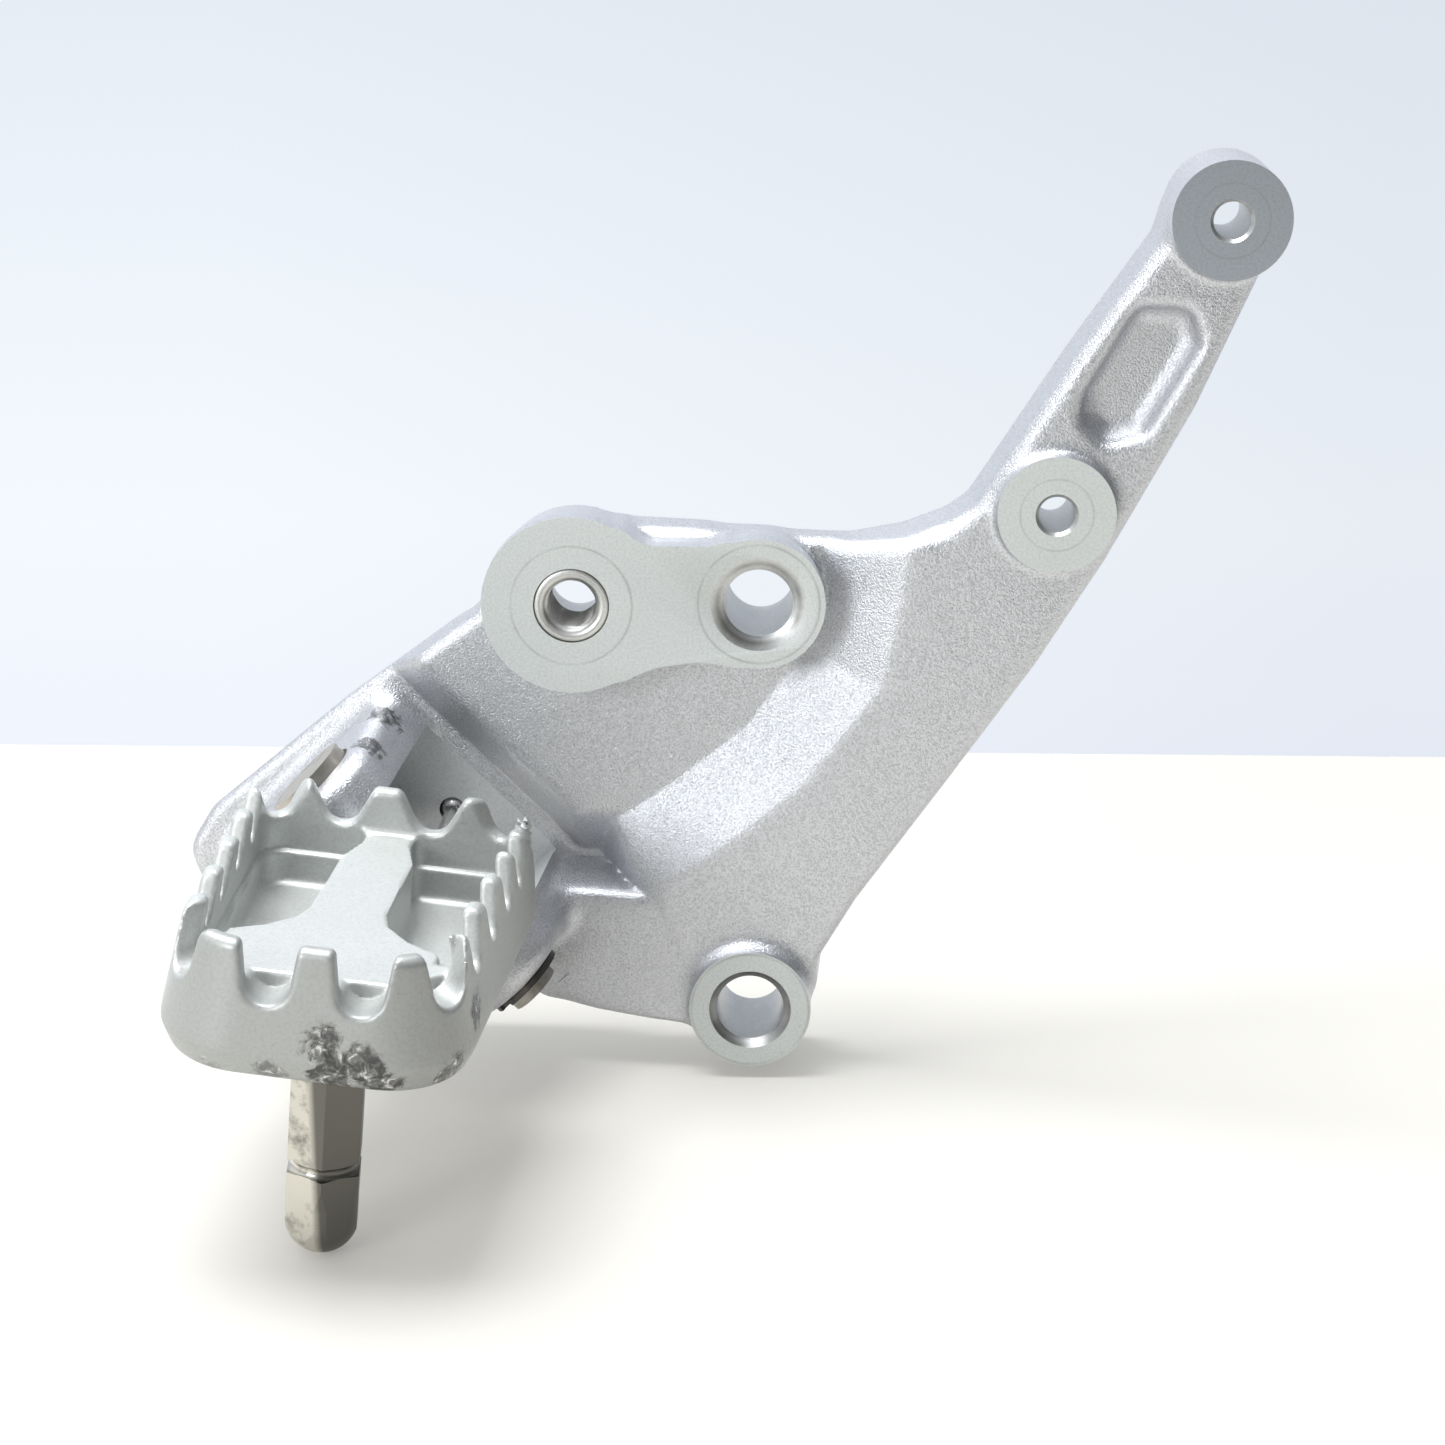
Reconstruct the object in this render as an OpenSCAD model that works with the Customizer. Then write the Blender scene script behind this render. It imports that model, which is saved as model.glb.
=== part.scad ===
// Rider footrest hanger: a cast bracket with a folding toothed peg.
// The origin is the centre of the through frame-bolt bore, at the machined boss face.
// +X runs along the bracket, +Y goes inboard (away from the rider's foot), +Z is up.

/* [Bracket] */
// Depth of the bracket's main wall, from boss face to back face
wall_depth = 18; // [16:0.5:22]
// Depth of the rib surface behind the boss faces
rib_y = 3; // [2:0.5:4]
// Depth of the recessed web under the double boss
web_y = 8; // [6:0.5:10]
// Depth of the lower web, between the clevis and the low boss
low_web_y = 12; // [10:0.5:14]
// Depth of the long low boss
low_boss_depth = 21.5; // [20:0.5:24]

/* [Frame interface] */
// Distance between the insert and the through bore
frame_bolt_pitch = 34.2; // [33:0.1:36]
// Diameter of the through frame-bolt bore
frame_bore_d = 12.5; // [12:0.1:13]
// Diameter of the low bore
low_bore_d = 12.7; // [12:0.1:13]
// Diameter of the small accessory holes
small_hole_d = 6.6; // [5.5:0.1:7]
// Outer diameter of the threaded insert
insert_d = 13.7; // [13:0.1:14.5]
// Diameter of the insert's tapped hole at the thread crests
insert_hole_d = 8.75; // [8.4:0.05:9]

/* [Clevis] */
// Width of the slot between the two ears
slot_w = 34.4; // [33:0.1:36]
// Thickness of one ear
ear_t = 9.3; // [8:0.1:10]
// Radius of an ear round the pin
ear_r = 12.5; // [11.5:0.1:12.8]
// Diameter of the pivot pin
pin_d = 10; // [9:0.5:11]
// Diameter of the pin's head
pin_head_d = 16.4; // [15:0.1:18]
// Running clearance between the pin and each bore, on the radius
pin_fit = 0.06; // [0.02:0.01:0.1]

/* [Foot peg] */
// Length of the toothed ring
peg_l = 74; // [70:1:76]
// Half width of the ring at its inner end
peg_half_rear = 26; // [24:0.5:27]
// Half width of the ring at its outer end
peg_half_front = 22.5; // [21:0.5:24]
// Height of the ring, from the underside to the tooth tips
peg_h = 23.5; // [22:0.5:25]
// Depth of the tooth notches
tooth_h = 8.5; // [7:0.5:9]

/* [Lean feeler] */
// Width of the feeler's hexagon across flats
feeler_af = 12; // [12:0.1:13]
// Length of the feeler below the ring's underside
feeler_l = 37.8; // [30:0.2:38]

/* [Hidden] */
$fn = 64;
gap = 0.3;            // room between parts on different bodies
eps = 0.01;

// Centres on the boss-face plane, as [x, z]
insert_at = [-frame_bolt_pitch, -0.5];
low_at = [-1.4, -79.3];
mid_at = [53.6, 17];
top_at = [82.6, 70];

big_lobe_r = 16.5;
small_lobe_r = 12.2;
small_boss_r = 10.7;
low_boss_r = 11.5;
insert_l = 13.7;
boss_face_t = 5;
draft = 0.18;         // sideways per unit of depth, on the bosses
bore_chamfer = 2.5;
low_chamfer = 1.4;

// Clevis frame: X along the pin, Y inboard, Z up and to the right
pin_at = [-63.4, -2, -53.2];
pin_tilt = 45;
slot_floor = 21;      // from the pin's axis to the slot's floor
clevis_back = 29;     // from the pin's axis to the back of the clevis
ear_top = 17.3;       // top of an ear at the slot floor
ear_foot_long = 30;   // foot of the upper ear below the pin
ear_foot_short = 13;  // foot of the lower ear below the pin
ear_outer = slot_w / 2 + ear_t;

// Peg frame: origin at the outer end, level with the tooth tips, X right, Y inboard
peg_at = [-69.7, -91, -32.8];
peg_turn = [2.6, 5.4, -4];
crease = 18.5;        // from the tooth tips down to the skirt's crease
hub_r = 8.5;
hub_half = slot_w / 2 - gap;
leg_x = -1.8;         // station of the spring's fixed leg along the pin
spring_room = 13;     // gap in the hub for the coil
wire_d = 2.6;
coil_turns = 3.5;
coil_r = pin_d / 2 + 0.7 + wire_d / 2;
leg_hole_d = 5;
leg_hole_z = 7.9;     // height of the leg's hole above the pin
leg_hole_depth = 5;
coil_l = coil_turns * (wire_d + 0.25);
window_floor_t = 4;
spring_mid = leg_x + coil_l / 2;

washer_t = 1;
clip_t = 1.2;
clip_r = 7.6;
neck_r = 3.9;
pin_head_t = 3;
spotface = 0.6;

feeler_at = [1.6, 14.5]; // in the peg frame
feeler_corner = feeler_af / 2 / cos(30);
feeler_turn = 38.4;   // the hexagon's turn after it is tightened
nose_r = 6.35;
thread_l = 10.5;
groove_at = feeler_l - nose_r - 10.7;
groove_r = 1.2;
groove_floor_r = 5.5;

// Puts children, drawn flat as [x, z], between two depths
module plate(y0, y1)
    translate([0, y1, 0]) rotate([90, 0, 0]) linear_extrude(y1 - y0) children();

// A round bar along Y between two depths
module bar(at, r, y0, y1)
    translate([at[0], y1, at[1]]) rotate([90, 0, 0]) cylinder(r = r, h = y1 - y0);

// A round boss that narrows inboard, as its casting draft needs
module drafted_bar(at, r, y0, y1)
    translate([at[0], y1, at[1]]) rotate([90, 0, 0])
        cylinder(r1 = r - draft * (y1 - y0), r2 = r, h = y1 - y0);

// A countersunk bore along Y from the boss face; the countersink is wide by deep
module bore(at, d, depth, wide, deep) {
    bar(at, d / 2, -1, depth + 20);
    translate([at[0], deep, at[1]]) rotate([90, 0, 0])
        cylinder(r1 = d / 2, r2 = d / 2 + 2 * wide, h = 2 * deep);
}

module in_clevis() translate(pin_at) rotate([0, pin_tilt, 0]) children();
module in_peg() translate(peg_at) rotate(peg_turn) children();

// A round bar along the pin, between two stations
module on_pin(r, x0, x1) translate([x0, 0, 0]) rotate([0, 90, 0]) cylinder(r = r, h = x1 - x0);

// ---- bracket ----

module arm_outline()
    polygon([[72.2, 73], [69.8, 66], [55.3, 45], [38, 17.8], [34, 15], [26.3, 12], [16.7, 10.2],
             [-10, 10.8], [-10, -40], [-24, -57], [-13, -86], [12, -77], [12.2, -71], [19.2, -59.1],
             [33.8, -38.4], [51.6, -12.8], [63.7, 7.1], [78.8, 35.4], [91.8, 65.5]]);

module web_outline()
    polygon([[-10, 10.8], [-34, 12], [-53.7, -6.3], [-66, -15.5], [-62.2, -19], [-37, -43.5],
             [-31.8, -50.4], [-30, -56.5], [-20, -60], [26, -40], [26, 5]]);

module low_web_outline()
    polygon([[-36, -47], [-20, -50], [-8, -66], [-10, -86.2], [-20.8, -84.8], [-41.1, -82],
             [-47, -76], [-43, -56]]);

module rib_outline()
    polygon([[73, 70], [69.6, 62.5], [44.2, 24.5], [33.8, 10.8], [27.5, 8], [22, 8], [21.7, 0],
             [18.5, -15], [6, -30], [-9, -44.5], [-20, -57.5], [-19, -66], [-12, -80], [-2, -88],
             [12, -77], [12.2, -71], [19.2, -59.1], [33.8, -38.4], [51.6, -12.8], [63.7, 7.1],
             [78.8, 35.4], [91.8, 65.5]]);

module clevis_outline()
    polygon([[-53.7, -6.3], [-77.9, -24.2], [-104.7, -46.6], [-109.5, -54.5], [-107, -61.5],
             [-60, -83], [-41.1, -82], [-24, -70], [-24, -40], [-44, -12]]);

// Raised face that joins the two frame bosses, waisted between them
module double_boss_face() {
    translate(insert_at) circle(r = big_lobe_r);
    circle(r = small_lobe_r);
    polygon([[-25, 13.1], [-22.5, 11.4], [-20, 10.8], [-9, 10.8], [-6, 11.2], [0, 5], [0, -5],
             [-4, -11.5], [-12, -11.1], [-18, -12], [-25, -14.3], [-30, -10], [-30, 10]]);
}

module arm_pocket()
    hull() {
        translate([69.4, 50.2]) circle(r = 4.2, $fn = 32);
        translate([74.9, 48.4]) circle(r = 4.2, $fn = 32);
        translate([61.4, 35.5]) circle(r = 4.2, $fn = 32);
        translate([65.4, 33.6]) circle(r = 3.6, $fn = 32);
    }

// Profile of an ear across the pin, as [inboard, up], foot is its reach below the pin
module ear_profile(foot) {
    circle(r = ear_r);
    polygon([[clevis_back, ear_top], [slot_floor, ear_top], [0, ear_r], [0, -ear_r],
             [slot_floor, -foot], [clevis_back, -foot]]);
}

module ear(x0, x1, foot)
    translate([x0, 0, 0]) rotate([90, 0, 90]) linear_extrude(x1 - x0) ear_profile(foot);

module hanger_bracket() color("silver") difference() {
    union() {
        plate(web_y + 2, wall_depth) arm_outline();
        plate(web_y, wall_depth + 4) web_outline();
        plate(low_web_y, wall_depth + 4) low_web_outline();
        plate(rib_y, wall_depth) rib_outline();
        plate(pin_at[1] + slot_floor - 2, pin_at[1] + clevis_back) clevis_outline();
        plate(0, boss_face_t) double_boss_face();
        drafted_bar(insert_at, big_lobe_r, boss_face_t, wall_depth);
        drafted_bar([0, 0], small_lobe_r, boss_face_t, wall_depth);
        bar(low_at, low_boss_r, 0, low_boss_depth);
        bar(mid_at, small_boss_r, 0, wall_depth);
        bar(top_at, small_boss_r, 0, wall_depth);
        in_clevis() {
            ear(-ear_outer, -slot_w / 2, ear_foot_long);
            ear(slot_w / 2, ear_outer, ear_foot_short);
        }
    }
    // machined slot for the peg's hub, and the pin's holes
    in_clevis() {
        translate([-slot_w / 2, -60, -60]) cube([slot_w, 60 + slot_floor, 60 + ear_top]);
        on_pin(pin_d / 2 + pin_fit, -50, 50);
        on_pin(pin_head_d / 2 + 0.6, -ear_outer - 20, -ear_outer + spotface);
        on_pin(pin_head_d / 2 + 0.6, ear_outer - spotface, ear_outer + 6);
        translate([leg_x, slot_floor - 1, leg_hole_z]) rotate([-90, 0, 0])
            cylinder(d = leg_hole_d, h = leg_hole_depth + 1);
    }
    plate(-1, rib_y + 3.5) arm_pocket();
    bore([0, 0], frame_bore_d, wall_depth, bore_chamfer, bore_chamfer / 2);
    bore(low_at, low_bore_d, low_boss_depth, low_chamfer, low_chamfer);
    bore(mid_at, small_hole_d, wall_depth, 0.6, 0.6);
    bore(top_at, small_hole_d, wall_depth, 0.6, 0.6);
    // stepped seat of the insert: full size in front, clearance for the bolt behind
    bar(insert_at, insert_d / 2, -1, insert_l);
    bar(insert_at, insert_hole_d / 2 + 1, insert_l - 1, wall_depth + 6);
}

module threaded_insert() color("lightgray") translate([insert_at[0], 0, insert_at[1]])
    difference() {
        translate([0, insert_l, 0]) rotate([90, 0, 0]) cylinder(d = insert_d, h = insert_l);
        translate([0, insert_l + 1, 0]) rotate([90, 0, 0]) cylinder(d = insert_hole_d, h = insert_l + 2);
        translate([0, 0.8, 0]) rotate([90, 0, 0])
            cylinder(d1 = insert_hole_d, d2 = insert_hole_d + 3, h = 1.5);
    }

// ---- foot peg ----

// Plan of the ring, inset from the outside by d
module ring_plan(d)
    hull() {
        for (side = [-1, 1]) {
            translate([side * (peg_half_front - 11.5), 12.5]) circle(r = 12.5 - d, $fn = 32);
            translate([side * (peg_half_rear - 9), peg_l - 9]) circle(r = 9 - d, $fn = 32);
        }
    }

// Outside of the ring: it spreads down to a crease, then tucks in to the underside
module ring_body()
    hull() {
        translate([0, 0, -0.1]) linear_extrude(0.1) ring_plan(0.3);
        translate([0, 0, -crease]) linear_extrude(0.1) skirt_plan(0);
        translate([0, 0, -peg_h]) linear_extrude(0.1) skirt_plan(1.8);
    }

// Plan of the ring at the crease
module skirt_plan(d)
    hull() {
        for (side = [-1, 1]) {
            translate([side * (peg_half_front - 9), 11.5]) circle(r = 13 - d, $fn = 32);
            translate([side * (peg_half_rear - 7.5), peg_l - 9]) circle(r = 9 - d, $fn = 32);
        }
    }

// One deep recess beside the spine, side is 1 or -1
module window(side)
    hull() {
        translate([side * 17.5, 27.5]) circle(r = 1.5, $fn = 24);
        translate([side * 9, 32]) circle(r = 2, $fn = 24);
        translate([side * 10, 58]) circle(r = 2, $fn = 24);
        translate([side * 18.5, 60]) circle(r = 2, $fn = 24);
    }

// Notches of the teeth, cut by a round cutter through the wall from inside to outside
notch_r = 4.6;
front_notches = [-6.8, 8.6];
rear_notches = [-8.5, 8.5];
side_notches = [20, 34, 47, 59.5];
front_corner = [20.5, 6.5];
rear_corner = [22.5, peg_l - 3.2];

module notch(at, turn)
    translate([at[0], at[1], 0]) rotate([0, 0, turn]) translate([0, 0, -tooth_h + notch_r])
        rotate([-90, 0, 0]) {
            translate([0, 0, -8]) cylinder(r = notch_r, h = 16);
            translate([-notch_r, -12, -8]) cube([2 * notch_r, 12, 16]);
        }

module foot_peg() color("gainsboro") {
    difference() {
        union() {
            difference() {
                in_peg() difference() {
                    ring_body();
                    translate([0, 0, -9.5]) linear_extrude(20) ring_plan(3.6);
                    for (side = [-1, 1])
                        translate([0, 0, -peg_h + window_floor_t]) linear_extrude(40) window(side);
                    for (u = front_notches) notch([u, 1], 0);
                    for (u = rear_notches) notch([u, peg_l - 1], 0);
                    for (side = [-1, 1]) {
                        for (v = side_notches) notch([side * (peg_half_front + 1.5), v], 90);
                        notch([side * front_corner[0], front_corner[1]], side * 45);
                        notch([side * rear_corner[0], rear_corner[1]], -side * 45);
                    }
                    // tapped hole of the feeler
                    translate([feeler_at[0], feeler_at[1], -peg_h - 1]) cylinder(d = 8, h = 12);
                }
            }
            // hub on the pin, with its neck to the ring
            in_clevis() {
                on_pin(hub_r, -hub_half, hub_half);
                translate([-hub_half, -17.4, -7.5]) cube([2 * hub_half, 17.4, 15]);
                // stop heel under the pin, which rests near the slot's floor
                translate([-hub_half, 0, -hub_r]) cube([2 * hub_half, slot_floor - gap, 5]);
            }
        }
        in_clevis() {
            on_pin(pin_d / 2 + pin_fit, -40, 40);
            // room for the coil
            translate([spring_mid - spring_room / 2, -11, -hub_r - 1])
                cube([spring_room, 40, 2 * hub_r + 2]);
        }
    }
}

// Turned end of the feeler: a round nose, a short neck and a chamfer up to the hexagon's corners
module feeler_envelope()
    rotate_extrude() {
        intersection() {
            translate([0, -feeler_l + nose_r]) circle(r = nose_r);
            translate([0, -feeler_l]) square([nose_r, nose_r]);
        }
        polygon([[0, -feeler_l + nose_r], [nose_r, -feeler_l + nose_r], [nose_r + 0.05, -feeler_l + nose_r + 4],
                 [feeler_corner + 0.05, -feeler_l + nose_r + 8], [feeler_corner + 0.05, 0], [0, 0]]);
    }

module lean_feeler() color("lightsteelblue")
    in_peg() translate([feeler_at[0], feeler_at[1], -peg_h]) {
        translate([0, 0, -eps]) cylinder(d = 8, h = thread_l + eps);
        difference() {
            intersection() {
                rotate([0, 0, feeler_turn]) translate([0, 0, -feeler_l])
                    cylinder(r = feeler_corner, h = feeler_l, $fn = 6);
                feeler_envelope();
            }
            // wear-limit groove
            translate([0, 0, -groove_at]) rotate_extrude()
                translate([groove_floor_r + groove_r, 0]) circle(r = groove_r);
        }
    }

// ---- pin, washer and clip ----

module pivot_pin() color("dimgray") in_clevis() {
    shank_end = ear_outer - spotface + washer_t + 0.2;
    on_pin(pin_d / 2, -ear_outer, shank_end);
    on_pin(pin_head_d / 2, -ear_outer + spotface - pin_head_t, -ear_outer + spotface);
    on_pin(neck_r, shank_end - eps, shank_end + clip_t + 0.1);
    on_pin(pin_d / 2, shank_end + clip_t + 0.1, shank_end + clip_t + 2.2);
}

module pin_washer() color("gray") in_clevis() difference() {
    on_pin(clip_r, ear_outer - spotface + 0.05, ear_outer - spotface + 0.05 + washer_t);
    on_pin(pin_d / 2 + 0.1, 0, 60);
}

module e_clip() color("dimgray") in_clevis() {
    x0 = ear_outer - spotface + washer_t + 0.25;
    difference() {
        on_pin(clip_r, x0, x0 + clip_t - 0.1);
        on_pin(neck_r + 0.02, 0, 60);
        translate([0, -neck_r + 0.6, -20]) cube([60, 2 * neck_r - 1.2, 20]);
        translate([0, -6.2, -4.4]) rotate([0, 90, 0]) cylinder(r = 1.6, h = 60);
        translate([0, 6.2, -4.4]) rotate([0, 90, 0]) cylinder(r = 1.6, h = 60);
    }
}

// ---- return spring: coil round the pin, one leg in the bracket, one under the peg ----

coil_steps = 22;
function coil_point(t) = [spring_mid - coil_l / 2 + coil_l * t / coil_turns,
                          -coil_r * sin(360 * t), coil_r * cos(360 * t)];
coil_path = [for (i = [0 : coil_turns * coil_steps]) coil_point(i / coil_steps)];
leg_in = [[coil_path[0][0], slot_floor + leg_hole_depth - 1, leg_hole_z],
          [coil_path[0][0], 12, leg_hole_z - 0.3], [coil_path[0][0], 4, coil_r + 0.1]];
last = coil_path[len(coil_path) - 1];
leg_out = [[last[0], last[1] - 4, last[2]], [last[0], -10, last[2]]];
wire_path = concat(leg_in, coil_path, leg_out);

sides = 8;
function tangent(p, i) =
    let (q = p[min(i + 1, len(p) - 1)] - p[max(i - 1, 0)]) q / norm(q);
function ring_at(p, i) =
    let (t = tangent(p, i), n = cross(t, [1, 0, 0]), u = n / norm(n), w = cross(t, u))
    [for (k = [0 : sides - 1]) p[i] + wire_d / 2 * (cos(360 * k / sides) * u + sin(360 * k / sides) * w)];

module tube(p) {
    n = len(p);
    rings = [for (i = [0 : n - 1]) each ring_at(p, i)];
    walls = [for (i = [0 : n - 2]) for (k = [0 : sides - 1])
        let (m = (k + 1) % sides)
        [i * sides + k, (i + 1) * sides + k, (i + 1) * sides + m, i * sides + m]];
    start = [[for (k = [0 : sides - 1]) k]];
    end = [[for (k = [sides - 1 : -1 : 0]) (n - 1) * sides + k]];
    polyhedron(points = rings, faces = concat(start, walls, end));
}

module return_spring() color("slategray") in_clevis() tube(wire_path);

hanger_bracket();
threaded_insert();
foot_peg();
lean_feeler();
pivot_pin();
return_spring();
pin_washer();
e_clip();
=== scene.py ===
import math

import bmesh
import bpy
import numpy as np
import openvdb
from mathutils import Matrix, Vector


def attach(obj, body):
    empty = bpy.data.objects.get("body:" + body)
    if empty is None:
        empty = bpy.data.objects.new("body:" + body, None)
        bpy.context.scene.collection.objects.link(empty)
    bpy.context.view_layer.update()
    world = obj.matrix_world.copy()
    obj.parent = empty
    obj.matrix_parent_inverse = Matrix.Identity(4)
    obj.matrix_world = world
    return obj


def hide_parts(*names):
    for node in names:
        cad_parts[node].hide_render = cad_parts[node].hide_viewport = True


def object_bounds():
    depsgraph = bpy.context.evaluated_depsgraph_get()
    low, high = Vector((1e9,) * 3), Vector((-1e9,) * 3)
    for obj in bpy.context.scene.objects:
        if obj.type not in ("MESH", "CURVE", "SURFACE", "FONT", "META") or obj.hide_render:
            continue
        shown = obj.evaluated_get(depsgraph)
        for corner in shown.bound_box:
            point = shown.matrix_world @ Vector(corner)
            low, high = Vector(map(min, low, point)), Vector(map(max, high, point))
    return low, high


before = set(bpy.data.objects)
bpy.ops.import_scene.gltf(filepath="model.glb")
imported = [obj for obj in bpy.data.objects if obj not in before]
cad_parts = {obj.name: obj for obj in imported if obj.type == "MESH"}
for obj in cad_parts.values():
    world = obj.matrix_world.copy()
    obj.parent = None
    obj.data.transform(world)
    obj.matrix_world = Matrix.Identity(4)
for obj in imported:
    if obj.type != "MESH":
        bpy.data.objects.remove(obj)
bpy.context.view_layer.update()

# ---------------------------------------------------------------- shared sizes, in mm as in the CAD
PIN_AT = np.array([-63.4, -2.0, -53.2])
PEG_AT = np.array([-69.7, -91.0, -32.8])
PEG_TURN = (2.6, 5.4, -4.0)
INSERT = (-34.2, -0.5)
LOW = (-1.4, -79.3)
MID = (53.6, 17.0)
TOP = (82.6, 70.0)
SLOT = 17.2
EAR_OUT = 26.5
SPRING_HOLE = np.array([-1.8, 0, 7.9])  # in the clevis frame
# depth of the bracket's back and of its front surfaces, from the boss face inboard
BACK = 18
WEB_FRONT = 9.6
RIB_FRONT = 3
LOW_FRONT = 3.4
CLEVIS_FRONT = 17.5


def turn(x=0, y=0, z=0):
    """Rotation about X, then Y, then Z, in degrees."""
    r = [math.radians(v) for v in (x, y, z)]
    m = Matrix.Rotation(r[2], 3, "Z") @ Matrix.Rotation(r[1], 3, "Y") @ Matrix.Rotation(r[0], 3, "X")
    return np.array(m)


CLEVIS_R = turn(y=45)
PEG_R = turn(*PEG_TURN)


# ---------------------------------------------------------------- solids as distance fields
def smin(a, b, r):
    """Union with a circular fillet of radius r."""
    return np.maximum(r, np.minimum(a, b)) - np.hypot(np.maximum(r - a, 0), np.maximum(r - b, 0))


def smax(a, b, r):
    """Intersection with a rounded edge of radius r."""
    return np.minimum(-r, np.maximum(a, b)) + np.hypot(np.maximum(r + a, 0), np.maximum(r + b, 0))


def soft(a, k):
    """max(a, 0) with its corner eased over k."""
    return 0.5 * (a + np.sqrt(a * a + k * k))


def axes(lo, hi, h):
    """Three broadcastable coordinate arrays."""
    out = []
    for i, (a, b) in enumerate(zip(lo, hi)):
        shape = [1, 1, 1]
        shape[i] = -1
        out.append(np.arange(a, b + h, h, dtype=np.float32).reshape(shape))
    return out


def poly(pts, x, z):
    """Signed distance to a closed outline in a plane, negative inside."""
    p = np.array(pts, np.float32)
    d = np.full(np.broadcast(x, z).shape, 1e9, np.float32)
    s = np.ones_like(d)
    for i in range(len(p)):
        a, b = p[i], p[i - 1]
        e = b - a
        wx, wz = x - a[0], z - a[1]
        t = np.clip((wx * e[0] + wz * e[1]) / (e @ e), 0, 1)
        d = np.minimum(d, (wx - e[0] * t) ** 2 + (wz - e[1] * t) ** 2)
        c1, c2, c3 = z >= a[1], z < b[1], e[0] * wz > e[1] * wx
        flip = (c1 & c2 & c3) | (~c1 & ~c2 & ~c3)
        s = np.where(flip, -s, s)
    return s * np.sqrt(d)


def eased(pts, r, n=5):
    """Outline with every corner turned into an arc of about radius r."""
    p = np.array(pts, float)
    out = []
    for i in range(len(p)):
        a, b, c = p[i - 1], p[i], p[(i + 1) % len(p)]
        u, v = (a - b) / np.linalg.norm(a - b), (c - b) / np.linalg.norm(c - b)
        half = math.acos(np.clip(u @ v, -1, 1)) / 2
        if half > 1.45:
            out.append(b)
            continue
        d = min(r / math.tan(half), 0.45 * np.linalg.norm(a - b), 0.45 * np.linalg.norm(c - b))
        for t in np.linspace(0, 1, n):
            out.append((1 - t) ** 2 * (b + u * d) + 2 * t * (1 - t) * b + t * t * (b + v * d))
    return out


def disc(c, r, x, z):
    return np.hypot(x - c[0], z - c[1]) - r


def field_mesh(name, f, lo, h, place=None):
    """Mesh of a field's zero surface, in metres. place turns the field's own axes into the row's."""
    g = openvdb.FloatGrid(background=3 * h)
    g.copyFromArray(np.ascontiguousarray(np.clip(f, -3 * h, 3 * h)))
    pts, quads = g.convertToQuads()
    pts = pts * h + np.array(lo)
    if place is not None:
        pts = pts @ place[0].T + place[1]
    a, b, c, d = (pts[quads[:, k]] for k in range(4))
    volume = np.einsum("ij,ij->i", a, np.cross(b, c)).sum() + np.einsum("ij,ij->i", a, np.cross(c, d)).sum()
    if volume < 0:
        quads = quads[:, ::-1]
    me = bpy.data.meshes.new(name)
    me.vertices.add(len(pts))
    me.vertices.foreach_set("co", (pts * 0.001).astype(np.float32).ravel())
    me.loops.add(quads.size)
    me.loops.foreach_set("vertex_index", quads.astype(np.int32).ravel())
    me.polygons.add(len(quads))
    me.polygons.foreach_set("loop_start", np.arange(0, quads.size, 4, dtype=np.int32))
    me.update(calc_edges=True)
    me.validate()
    o = bpy.data.objects.new(name, me)
    bpy.context.scene.collection.objects.link(o)
    return o


# ---------------------------------------------------------------- crisp cutters
def lathe(profile, at, axis_r=None, n=96):
    """Closed solid turned from (radius, depth) points; depth runs along +Y, or along axis_r's Y."""
    ang = np.linspace(0, 2 * math.pi, n, endpoint=False)
    rings = [np.stack([r * np.cos(ang), np.full(n, d), r * np.sin(ang)], 1) for r, d in profile]
    v = np.concatenate(rings)
    if axis_r is not None:
        v = v @ axis_r.T
    v = v + np.array(at)
    faces = [list(range(n))[::-1]]
    for k in range(len(profile) - 1):
        for i in range(n):
            j = (i + 1) % n
            faces.append([k * n + i, k * n + j, (k + 1) * n + j, (k + 1) * n + i])
    faces.append([(len(profile) - 1) * n + i for i in range(n)])
    return solid(v, faces)


def block(lo, hi, r=None, at=(0, 0, 0)):
    c = np.array([[x, y, z] for x in (lo[0], hi[0]) for y in (lo[1], hi[1]) for z in (lo[2], hi[2])])
    if r is not None:
        c = c @ r.T
    c = c + np.array(at)
    return solid(c, [[0, 1, 3, 2], [4, 6, 7, 5], [0, 4, 5, 1], [2, 3, 7, 6], [0, 2, 6, 4], [1, 5, 7, 3]])


def solid(v, faces):
    me = bpy.data.meshes.new("cutter")
    me.from_pydata((np.asarray(v) * 0.001).tolist(), [], faces)
    me.update()
    bm = bmesh.new()
    bm.from_mesh(me)
    bmesh.ops.recalc_face_normals(bm, faces=bm.faces)
    bm.to_mesh(me)
    bm.free()
    o = bpy.data.objects.new("cutter", me)
    bpy.context.scene.collection.objects.link(o)
    return o


def cut(o, cutters):
    """Takes the cutters out of a piece, one after another, with exact edges."""
    for c in cutters:
        m = o.modifiers.new("cut", "BOOLEAN")
        m.object, m.operation, m.solver = c, "DIFFERENCE", "MANIFOLD"
    dg = bpy.context.evaluated_depsgraph_get()
    new = bpy.data.meshes.new_from_object(o.evaluated_get(dg))
    old = o.data
    o.modifiers.clear()
    o.data = new
    bpy.data.meshes.remove(old)
    for c in cutters:
        me = c.data
        bpy.data.objects.remove(c)
        bpy.data.meshes.remove(me)


def finish_mesh(o, angle=38):
    me = o.data
    me.polygons.foreach_set("use_smooth", np.ones(len(me.polygons), bool))
    me.set_sharp_from_angle(angle=math.radians(angle))


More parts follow.
